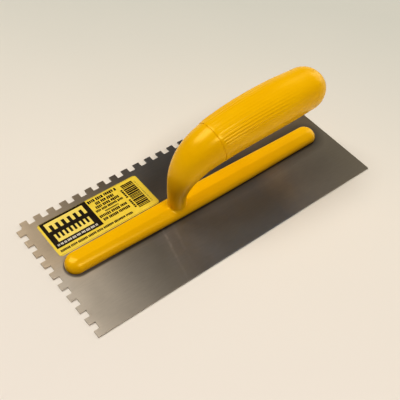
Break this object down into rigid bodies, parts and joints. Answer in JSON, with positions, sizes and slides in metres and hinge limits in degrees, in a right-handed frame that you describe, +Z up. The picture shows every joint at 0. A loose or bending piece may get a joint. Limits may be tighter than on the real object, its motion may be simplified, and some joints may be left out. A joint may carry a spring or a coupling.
{
  "type": "notched trowel",
  "caption": "Hand trowel with a flat steel blade, square notches along one long and one short edge, and a swan-neck plastic grip over a central rail.",
  "frame": {"origin": "middle of the blade's flat underside", "axes": "+X along the blade's long edge from the notched short edge to the plain one, +Y towards the notched long edge, +Z up through the grip"},
  "size_m": [0.28, 0.12, 0.0848],
  "materials": {
    "blade_steel": "rolled spring steel, faint grain, satin",
    "yellow_plastic": "smooth moulded, semi-gloss",
    "grip_plastic": "moulded with fine lengthwise ribs, semi-gloss",
    "label_paper": "coated self-adhesive paper, printed",
    "screw_zinc": "zinc plated"
  },
  "bodies": {
    "root": {"blade": "blade_steel", "backbone": "yellow_plastic", "grip": "grip_plastic", "label": "label_paper", "screw_1": "screw_zinc", "screw_2": "screw_zinc", "screw_3": "screw_zinc", "screw_4": "screw_zinc", "screw_5": "screw_zinc", "screw_6": "screw_zinc", "screw_7": "screw_zinc"}
  },
  "joints": []
}
